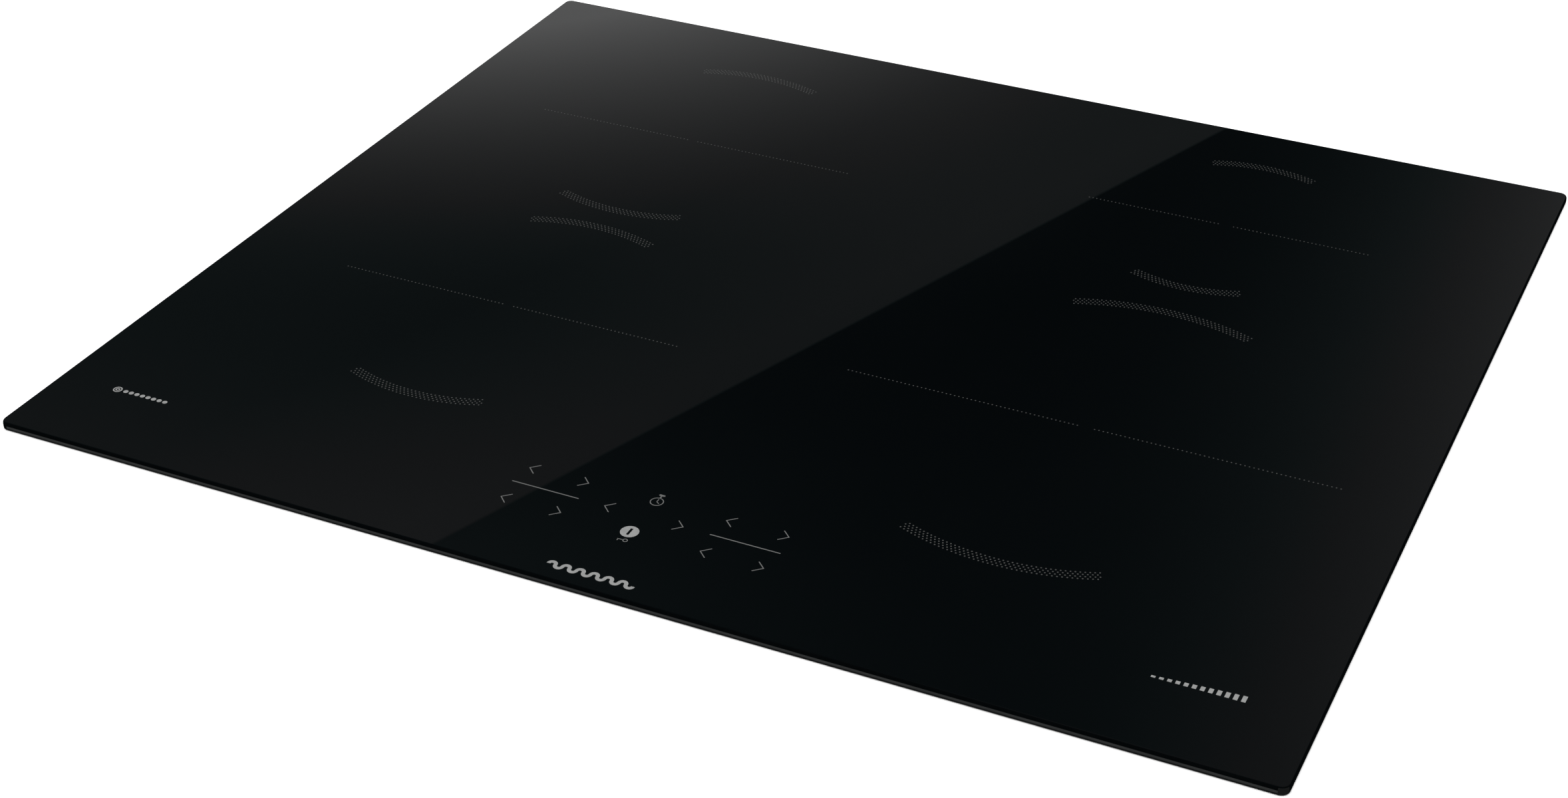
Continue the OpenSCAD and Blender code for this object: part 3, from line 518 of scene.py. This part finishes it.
def zone_dots(corner):
    """Screen-printed dots: two arcs of four staggered rows, and the line through the middle."""
    x, y, radius = zone_of(corner)
    shapes = Shapes()
    row_gap = (ARC_BAND - 2 * ARC_DOT_R) / (ARC_ROWS - 1)
    count = round(2 * ARC_HALF_ANGLE * (radius - ARC_BAND / 2) / DOT_PITCH)
    step = 2 * ARC_HALF_ANGLE / count
    for middle in (math.pi / 2, -math.pi / 2):
        for row in range(ARC_ROWS):
            row_r = radius - ARC_DOT_R - row * row_gap
            for i in range(count):
                turn = middle - ARC_HALF_ANGLE + (i + 0.25 + 0.5 * (row % 2)) * step
                dot(shapes, on_circle((x, y), row_r, turn), ARC_DOT_R)
    start = LINE_GAPS[corner.split("_")[1]] / 2 + LINE_DOT_R
    length = radius + LINE_OVERRUN - LINE_DOT_R - start
    count = round(length / DOT_PITCH)
    for side in SIDES.values():
        for i in range(count + 1):
            dot(shapes, (x + side * (start + i * length / count), y), LINE_DOT_R)
    piece("print_zone_" + corner, shapes.points, shapes.faces, "print_grey", smooth=False)


def ink(shapes, points, width=STROKE):
    printed(shapes, stroke(points, width))


def arrow(shapes, x, y, side):
    tip, tail = x + side * ARROW_W / 2, x - side * ARROW_W / 2
    ink(shapes, [(tail, y + ARROW_H / 2), (tip, y), (tail, y - ARROW_H / 2)])


def key_print():
    """Arrow keys in two groups of two rows, a pair between them, and the two group lines."""
    shapes = Shapes()
    for group in SIDES.values():
        x = group * KEY_GROUP_X
        for y in KEY_ROW_Y:
            for side in SIDES.values():
                arrow(shapes, x + side * ARROW_OFFSET, y, side)
        ends = [(x - GROUP_LINE / 2, KEY_MIDDLE_Y), (x + GROUP_LINE / 2, KEY_MIDDLE_Y)]
        ink(shapes, ends, GROUP_STROKE)
    for side in SIDES.values():
        arrow(shapes, side * MIDDLE_ARROW_X, KEY_MIDDLE_Y, side)
    made = piece("print_keys", shapes.points, shapes.faces, "print_dim", smooth=False)
    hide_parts("glass_print")


def symbol_print():
    """The timer and lock symbols, and the brighter power button between them.

    Each symbol's strokes are placed from its own middle.
    """
    shapes = Shapes()
    timer_y, power_y = KEY_ROW_Y
    shapes.washer((0, timer_y), TIMER_R, TIMER_R - STROKE, PRINT_LOW, PRINT_HIGH)
    ink(shapes, [(0, timer_y), (0, timer_y + 1.8)], THIN_STROKE)
    ink(shapes, [(0.2, timer_y - 0.2), (1.3, timer_y - 0.9)], THIN_STROKE)
    ink(shapes, [(-0.9, timer_y + 5.1), (0.9, timer_y + 5.1)], 1.1)
    ink(shapes, [(0, timer_y + 3.2), (0, timer_y + 4.2)], 0.7)
    lock_y = power_y - LOCK_DROP
    lock = (LOCK_X, lock_y)
    shapes.washer(lock, LOCK_R, LOCK_HOLE_R, PRINT_LOW, PRINT_HIGH, SMALL_RING_SIDES)
    ink(shapes, [(0, lock_y), (-2.2, lock_y)], THIN_STROKE)
    ink(shapes, [(-2.0, lock_y - 0.3), (-2.0, lock_y - 1.1)], THIN_STROKE)
    piece("print_symbols", shapes.points, shapes.faces, "print_dim", smooth=False)
    button = Shapes()
    power_button(button, power_y)
    piece("print_power", button.points, button.faces, "print", smooth=False)


def power_button(shapes, y, steps=20):
    """A disc with an upright bar left open in it, made as two half discs round the bar."""
    width, height = POWER_BAR
    for side in SIDES.values():
        turns = [math.pi / 2 - side * math.pi * i / steps for i in range(steps + 1)]
        rim = [on_circle((0, y), POWER_R, t) for t in turns]
        across = side * width
        inner = [(0, y - height), (across, y - height), (across, y + height), (0, y + height)]
        outline = rim + inner
        printed(shapes, outline[::-1] if side > 0 else outline)


def badge_print():
    """Generic marks in place of the lettering: a wave line, a coil with dots, and rising bars."""
    shapes = Shapes()
    for i in range(WAVES):
        centre = ((2 * i - WAVES + 1) * WAVE_R, WAVE_Y)
        half_ring(shapes, centre, WAVE_R, WAVE_STROKE, 0 if i % 2 == 0 else math.pi)
    for radius in COIL_RADII:
        inner = radius - COIL_STROKE
        shapes.washer(COIL_SPOT, radius, inner, PRINT_LOW, PRINT_HIGH, SMALL_RING_SIDES)
    for i in range(1, COIL_DOTS + 1):
        centre = (COIL_SPOT[0] + COIL_DOT_START + i * COIL_DOT_PITCH, COIL_SPOT[1])
        dot(shapes, centre, COIL_DOT_R, COIL_DOT_SIDES)
    for i in range(BAR_COUNT):
        x, base, height = BAR_SPOT[0] + i * BAR_PITCH, BAR_SPOT[1], BAR_HEIGHT + i * BAR_GROWTH
        far, top = x + BAR_W, base + height
        printed(shapes, [(x, base), (far, base), (far, top), (x, top)])
    piece("print_badges", shapes.points, shapes.faces, "print", smooth=False)


def half_ring(shapes, centre, radius, width, start, steps=12):
    """A ring's half, anticlockwise from the start angle."""
    turns = [start + math.pi * k / steps for k in range(steps + 1)]
    outer = [on_circle(centre, radius + width / 2, t) for t in turns]
    inner = [on_circle(centre, radius - width / 2, t) for t in turns]
    printed(shapes, outer + inner[::-1])


# ---------- coils, springs and chokes ----------

WIRE_STEPS = 44          # points in one turn of a winding
LITZ_R = 1.8
LITZ_GAP = 0.12
WINDING_INNER_R = 24.0
SPRING_R, SPRING_WIRE_R, SPRING_TURNS, SPRING_STEPS = 4.0, 0.5, 8, 18
LEAD_R = 1.6
LEAD_BEND_R = 3.2
LEAD_STEPS = 6           # points in a lead's upright part, and again in its bend
LEAD_REACH = 6.5         # from a coil former's edge to its leads
LEAD_SPREAD = 4.0        # half the space between a coil's two leads
LEAD_SLANT = 40          # degrees that the leads stand round from the former's near side
CHOKE_BASE_R, CHOKE_BASE_T, CHOKE_HOLE_R = 24.0, 1.5, 3.0
CHOKE_RING_R, CHOKE_LOOP_R, CHOKE_WIRE_R, CHOKE_CORE_R = 15.5, 7.0, 0.9, 5.9
CHOKE_TURNS, CHOKE_STEPS = 30, 12
CHOKE_DROP = 8           # from the choke's highest point to its middle
CHOKE_SPAN = (12, 336)   # degrees: where the wire starts on the ring, and how far it goes


def litz_winding(corner, body):
    """One flat spiral of litz wire."""
    node = "winding_" + corner
    low, high = box_mm(node)
    x, y, _ = zone_of(corner)
    width = (high.x - low.x) / 2 - WINDING_INNER_R
    turns = int(width / (2 * LITZ_R + LITZ_GAP))
    pitch = width / turns
    path = []
    for i in range((turns - 1) * WIRE_STEPS + 1):
        turn = i / WIRE_STEPS
        spot = on_circle((x, y), WINDING_INNER_R + pitch * (turn + 0.5), turn * FULL_TURN)
        path.append((*spot, (low.z + high.z) / 2))
    shapes = Shapes()
    shapes.tube(path, LITZ_R, 8)
    made = piece("litz_" + corner, shapes.points, shapes.faces, "copper_litz", body, shapes.uvs)
    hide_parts(node)


def spring_wires(side):
    """Four coil springs under one carrier."""
    node = "carrier_springs_" + side
    low, high = box_mm(node)
    edge = SPRING_R + SPRING_WIRE_R
    count = SPRING_TURNS * SPRING_STEPS
    shapes = Shapes()
    for x in (low.x + edge, high.x - edge):
        for y in (low.y + edge, high.y - edge):
            path = []
            for i in range(count + 1):
                share = i / count
                rise = level_ends(share, 1 / SPRING_TURNS) * (high.z - low.z - 2 * SPRING_WIRE_R)
                spot = on_circle((x, y), SPRING_R, share * SPRING_TURNS * FULL_TURN)
                path.append((*spot, low.z + SPRING_WIRE_R + rise))
            shapes.tube(path, SPRING_WIRE_R, 6)
    made = piece("spring_wires_" + side, shapes.points, shapes.faces, "spring_steel",
                 uvs=shapes.uvs)
    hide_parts(node)
    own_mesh(made)


def level_ends(share, flat):
    """Rises from 0 to 1 but stays level for most of the first and last flat share."""
    return min(max((share - flat * 0.8) / (1 - flat * 1.6), 0.0), 1.0)


def lead_wires(side):
    """The sleeved leads from the power board up to the windings."""
    node = "coil_leads_" + side
    low, high = box_mm(node)
    shapes = Shapes()
    for corner in (c for c in CORNERS if c.endswith(side)):
        x, y, _ = zone_of(corner)
        for foot in lead_feet(corner):
            away = Vector((foot[0] - x, foot[1] - y)).normalized()
            bend_z = high.z - LEAD_BEND_R
            path = [(*foot, low.z + (bend_z - low.z) * i / LEAD_STEPS)
                    for i in range(LEAD_STEPS + 1)]
            for i in range(1, LEAD_STEPS + 1):
                turn = math.pi / 2 * i / LEAD_STEPS
                reach = LEAD_BEND_R * (1 - math.cos(turn))
                path.append((foot[0] - away.x * reach, foot[1] - away.y * reach,
                             bend_z + LEAD_BEND_R * math.sin(turn)))
            shapes.tube(path, LEAD_R, 10, Vector((away.y, -away.x, 0)))
    made = piece("lead_wires_" + side, shapes.points, shapes.faces, "lead_sleeve",
                 uvs=shapes.uvs)
    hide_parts(node)
    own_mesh(made)


def lead_feet(corner):
    """The two places where a coil's leads stand, beside its former."""
    x, y, _ = zone_of(corner)
    low, high = box_mm("coil_former_" + corner)
    reach = (high.x - low.x) / 2 + LEAD_REACH
    slant = math.radians(LEAD_SLANT if x > 0 else -LEAD_SLANT)
    turn = (-math.pi / 2 + slant) if y >= 0 else (math.pi / 2 - slant)
    middle = on_circle((x, y), reach, turn)
    return [(middle[0] + side * LEAD_SPREAD, middle[1]) for side in SIDES.values()]


def choke_wires():
    """Four ring chokes: an iron powder core under one layer of copper wire, on a base."""
    low, high = box_mm("power_chokes")
    shapes = Shapes()
    middle_z = high.z - CHOKE_DROP
    count = CHOKE_TURNS * CHOKE_STEPS
    start, span = CHOKE_SPAN
    for x in (low.x + CHOKE_BASE_R, high.x - CHOKE_BASE_R):
        for y in (low.y + CHOKE_BASE_R, high.y - CHOKE_BASE_R):
            shapes.washer((x, y), CHOKE_BASE_R, CHOKE_HOLE_R, low.z, low.z + CHOKE_BASE_T)
            shapes.uvs += [[(0, 0)] * 4] * (4 * WASHER_STEPS)
            path = []
            for i in range(count + 1):
                share = i / count
                around, loop = math.radians(start + span * share), share * CHOKE_TURNS * FULL_TURN
                reach = CHOKE_RING_R + CHOKE_LOOP_R * math.cos(loop)
                z = middle_z + CHOKE_LOOP_R * math.sin(loop)
                path.append((*on_circle((x, y), reach, around), z))
            shapes.tube(path, CHOKE_WIRE_R, 6, Vector((0.02, 0.01, 1)))
            torus(shapes, (x, y, middle_z), CHOKE_RING_R, CHOKE_CORE_R)
    made = piece("choke_wires", shapes.points, shapes.faces, "choke", uvs=shapes.uvs)
    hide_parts("power_chokes")


def torus(shapes, centre, ring_r, tube_r, around=40, sides=12):
    """A closed ring of round section."""
    first = len(shapes.points)
    for i in range(around):
        turn = FULL_TURN * i / around
        for k in range(sides):
            loop = FULL_TURN * k / sides
            spot = on_circle(centre, ring_r + tube_r * math.cos(loop), turn)
            shapes.points.append((*spot, centre[2] + tube_r * math.sin(loop)))
    for i in range(around):
        for k in range(sides):
            a, b, j = first + i * sides, first + (i + 1) % around * sides, (k + 1) % sides
            shapes.faces.append((a + k, b + k, b + j, a + j))
            shapes.uvs.append([(0, 0)] * 4)


# ---------- CAD nodes ----------

WELD_GAP = 0.002          # corners closer than this are one point, so that the rounding can join
BEVEL_ANGLE = math.radians(40)
BEVELS = {                # rounding of the sharp edges, in mm
    "aluminium": 0.15, "galvanised_steel": 0.2, "zinc_screw": 0.25, "black_plastic": 0.4,
    "grey_plastic": 0.3, "white_plastic": 0.3, "component_black": 0.3, "capacitor_film": 0.8,
    "ferrite": 0.4, "foam_seal": 0.5, "spring_steel": 0.12,
}


def dress_cad_nodes():
    """Gives every CAD node its slot's material and rounds its sharp edges a little."""
    slots = {entry["node"]: entry["material_slot"] for entry in frame["record"]["subparts"]}
    for name, node in frame["nodes"].items():
        slot = slots[name]
        node.data.materials.clear()
        node.data.materials.append(MATERIALS[slot])
        width = BEVELS.get(slot)
        if width:
            weld = node.modifiers.new("weld", "WELD")
            weld.merge_threshold = WELD_GAP * MM
            bevel = node.modifiers.new("bevel", "BEVEL")
            bevel.width = width * MM
            bevel.segments = 2
            bevel.limit_method = "ANGLE"
            bevel.angle_limit = BEVEL_ANGLE
            bevel.harden_normals = True


# ---------- stage ----------

STRIP_WIDTH = 130.0      # how far the strip of worktop reaches past the plate
STRIP_RISE = 4.5         # its outer edge is higher, so that it is a thin line from low down
STRIP_TUCK = 8.0         # how far it reaches in from the seal's outer edge
STRIP_GAP = 0.1          # between it and the glass
STRIP_END = 3.0          # how far it runs past the plate at its two ends
FLOOR_RADIUS = 2200.0
FLOOR_SIDES = 96


def stage_material(name, colour):
    """A matt, almost even colour."""
    made = bpy.data.materials.new(name)
    made.use_nodes = True
    g = Graph(made.node_tree)
    place = g.node("ShaderNodeTexCoord").outputs["Object"]
    tone = g.colours(g.noise(place, 3.0), [c * 0.99 for c in colour], colour)
    inputs = {"Base Color": tone, "Roughness": 0.9, "Specular IOR Level": 0.1}
    shader = g.node("ShaderNodeBsdfPrincipled", inputs)
    g.node("ShaderNodeOutputMaterial", {"Surface": shader.outputs[0]})
    return made


def stage():
    """A round pale floor, and a thin strip of worktop under the plate's front and right edges."""
    pale = stage_material("stage_pale", (0.9, 0.9, 0.9))
    rim = [(*on_circle((0, 0), FLOOR_RADIUS, FULL_TURN * i / FLOOR_SIDES), 0)
           for i in range(FLOOR_SIDES)]
    low, high = box_mm("edge_seal")
    level = GLASS_LOW.z - STRIP_GAP
    raised = level + STRIP_RISE
    inner_x, edge_x, outer_x = high.x - STRIP_TUCK, GLASS_HIGH.x, GLASS_HIGH.x + STRIP_WIDTH
    inner_y, edge_y, outer_y = low.y + STRIP_TUCK, GLASS_LOW.y, GLASS_LOW.y - STRIP_WIDTH
    left, back = GLASS_LOW.x - STRIP_END, GLASS_HIGH.y + STRIP_END
    strip = [(left, inner_y, level), (inner_x, inner_y, level), (inner_x, back, level),
             (left, edge_y, level), (edge_x, edge_y, level), (edge_x, back, level),
             (left, outer_y, raised), (outer_x, outer_y, raised), (outer_x, back, raised)]
    strip_faces = [(0, 3, 4, 1), (1, 4, 5, 2), (3, 6, 7, 4), (4, 7, 8, 5)]
    flats = (("floor", rim, [tuple(range(FLOOR_SIDES))]), ("worktop_strip", strip, strip_faces))
    for name, points, faces in flats:
        mesh = bpy.data.meshes.new(name)
        mesh.from_pydata([(x * MM, y * MM, z * MM) for x, y, z in points], [], faces)
        mesh.materials.append(pale)
        made = bpy.data.objects.new(name, mesh)
        made.visible_shadow = name == "floor"
        scene.collection.objects.link(made)


# ---------- light ----------

# What the glass mirrors lies on a ceiling seen in perspective: u and v are the steps along X
# and along Y for each step up. Each pair below is (where a change starts, where it ends).
LEAST_RISE = 0.03                    # directions flatter than this use its steps
WINDOW_U, WINDOW_V = (-0.533, -1.22), (1.0, 2.294)
WINDOW_POWERS = (2.2, 3.34)
WINDOW_TOP, WINDOW_LIMIT = 1.476, 0.62
GLOW_U, GLOW_V = (-0.361, -0.767), (1.558, 1.187)
GLOW_TOP = 0.0413
SEAM = (0.6137, -0.2178, 0.7589)     # a u + b v + c is zero along it
SEAM_WIDTH = (0.001, -0.001)
LEFT_WALL, LEFT_TONES = (-0.148, -0.02), (0.032, 0.07)
RIGHT_WALL_U, RIGHT_WALL_TOP, RIGHT_WALL_POWER = (-0.7, -0.235), 1.053, 4.35
RIGHT_WALL_V, RIGHT_TONES = (1.2, 2.0), (0.083, 0.114)
RIGHT_WALL_LEAST = 0.0127
HIGH_RISE = (0.26, 0.39)             # the panels above show only at these rises and steeper
SIDE_U, SIDE_V, SIDE_RISE = (-1.18, -2.2), (0.5, 1.7), (0.1, 0.3)
SIDE_TOP = 0.5
HORIZON_RISE, HORIZON_TOP = (0.4, 0.05), 0.45    # brighter towards the horizon
TINT_TONES = (0.05, 0.085)           # darker tones than these are a little green and blue
TINT_DARK, TINT_LIGHT = (0.85, 1.08, 1.07), (1, 1, 1)
SOFT_LIGHT_LEVEL, BACKDROP_LEVEL = 0.6, 1.0


def ceiling_tone(g, u, v, z):
    """How bright the dim panels are that the glass mirrors."""
    across = g.maths("POWER", g.ramp(u, *WINDOW_U), WINDOW_POWERS[0])
    ahead = g.maths("POWER", g.ramp(v, *WINDOW_V, smooth=True), WINDOW_POWERS[1])
    window = g.maths("MULTIPLY", g.maths("MULTIPLY", across, ahead), WINDOW_TOP)
    window = g.maths("MINIMUM", window, WINDOW_LIMIT)
    glow = g.maths("MULTIPLY", g.maths("POWER", g.ramp(v, *GLOW_V), 2.0),
                   g.ramp(u, *GLOW_U, 0.0, GLOW_TOP))
    # A great circle parts the lighter left wall from the dark right one.
    slope = g.maths("ADD", g.maths("MULTIPLY", u, SEAM[0]), g.maths("MULTIPLY", v, SEAM[1]))
    seam = g.maths("ADD", slope, SEAM[2])
    on_left = g.ramp(seam, *SEAM_WIDTH)
    left_wall = g.ramp(seam, *LEFT_WALL, *LEFT_TONES)
    right_wall = g.maths("POWER", g.ramp(u, *RIGHT_WALL_U, 0.0, RIGHT_WALL_TOP), RIGHT_WALL_POWER)
    right_wall = g.maths("MULTIPLY", right_wall, g.ramp(v, *RIGHT_WALL_V, *RIGHT_TONES))
    right_wall = g.maths("ADD", right_wall, RIGHT_WALL_LEAST)
    wall = g.maths("ADD", g.maths("MULTIPLY", on_left, left_wall),
                   g.maths("MULTIPLY", g.maths("SUBTRACT", 1.0, on_left), right_wall))
    panels = g.maths("ADD", g.maths("ADD", window, glow), wall)
    high_up = g.maths("MULTIPLY", panels, g.ramp(z, *HIGH_RISE))
    side = g.maths("MULTIPLY", g.ramp(u, *SIDE_U, 0.0, SIDE_TOP, smooth=True),
                   g.ramp(v, *SIDE_V, smooth=True))
    side = g.maths("MULTIPLY", side, g.ramp(z, *SIDE_RISE))
    horizon = g.ramp(z, *HORIZON_RISE, 0.0, HORIZON_TOP, smooth=True)
    return g.maths("ADD", g.maths("ADD", high_up, side), horizon)


def studio_world():
    """White behind the object, soft light round it, and dim panels for the glass to reflect."""
    world = bpy.data.worlds.new("studio")
    scene.world = world
    world.use_nodes = True
    g = Graph(world.node_tree)
    direction = g.node("ShaderNodeTexCoord").outputs["Generated"]
    x, y, z = g.node("ShaderNodeSeparateXYZ", {0: direction}).outputs
    rise = g.maths("MAXIMUM", z, LEAST_RISE)
    tone = ceiling_tone(g, g.maths("DIVIDE", x, rise), g.maths("DIVIDE", y, rise), z)
    tint = g.colours(g.ramp(tone, *TINT_TONES), TINT_DARK, TINT_LIGHT)
    shader = g.node("ShaderNodeBackground", {"Color": tint, "Strength": tone})
    rays = g.node("ShaderNodeLightPath").outputs
    for ray, level in (("Is Diffuse Ray", SOFT_LIGHT_LEVEL), ("Is Camera Ray", BACKDROP_LEVEL)):
        plain = g.node("ShaderNodeBackground", {"Color": (1, 1, 1, 1), "Strength": level})
        inputs = {0: rays[ray], 1: shader.outputs[0], 2: plain.outputs[0]}
        shader = g.node("ShaderNodeMixShader", inputs)
    g.node("ShaderNodeOutputWorld", {"Surface": shader.outputs[0]})


LAMP_HEIGHT, LAMP_SIZE = 3.0, 4.0    # in metres
LAMP_WATTS = 185


def overhead_lamp():
    """A large panel of light that the glass doesn't mirror."""
    lamp = bpy.data.lights.new("overhead", "AREA")
    lamp.shape = "SQUARE"
    lamp.size = LAMP_SIZE
    lamp.energy = LAMP_WATTS
    made = bpy.data.objects.new("overhead", lamp)
    made.location = (0, 0, LAMP_HEIGHT)
    made.visible_glossy = False
    scene.collection.objects.link(made)


# ---------- camera ----------

CAMERA_TARGET = Vector((9.1, -64.5, 54.0))    # and its distance, in millimetres
CAMERA_AZIMUTH, CAMERA_ELEVATION = math.radians(25.015), math.radians(31.391)
CAMERA_DISTANCE = 1220.6
CAMERA_LENS, CAMERA_SENSOR = 60.38, 36.0
CAMERA_SHIFT = (-0.0115, -0.0211)
CAMERA_CLIP = (0.05, 60.0)           # in metres


def photo_camera():
    """The camera at the photo's viewing angle."""
    data = bpy.data.cameras.new("photo_camera")
    data.sensor_width = CAMERA_SENSOR
    data.sensor_fit = "HORIZONTAL"
    data.lens = CAMERA_LENS
    data.shift_x, data.shift_y = CAMERA_SHIFT
    data.clip_start, data.clip_end = CAMERA_CLIP
    made = bpy.data.objects.new("photo_camera", data)
    level = math.cos(CAMERA_ELEVATION)
    back = Vector((math.sin(CAMERA_AZIMUTH) * level, -math.cos(CAMERA_AZIMUTH) * level,
                   math.sin(CAMERA_ELEVATION)))
    made.location = (CAMERA_TARGET + back * CAMERA_DISTANCE) * MM
    made.rotation_mode = "QUATERNION"
    made.rotation_quaternion = (-back).to_track_quat("-Z", "Y")
    scene.collection.objects.link(made)
    scene.camera = made


# ---------- everything together ----------

photo_camera()
dress_cad_nodes()
glass_pane()
for corner in CORNERS:
    zone_dots(corner)
    litz_winding(corner, "coil_carrier_" + corner.split("_")[1])
key_print()
symbol_print()
badge_print()
for side in SIDES:
    spring_wires(side)
    lead_wires(side)
choke_wires()
stage()
studio_world()
overhead_lamp()
scene.view_settings.view_transform = "Standard"
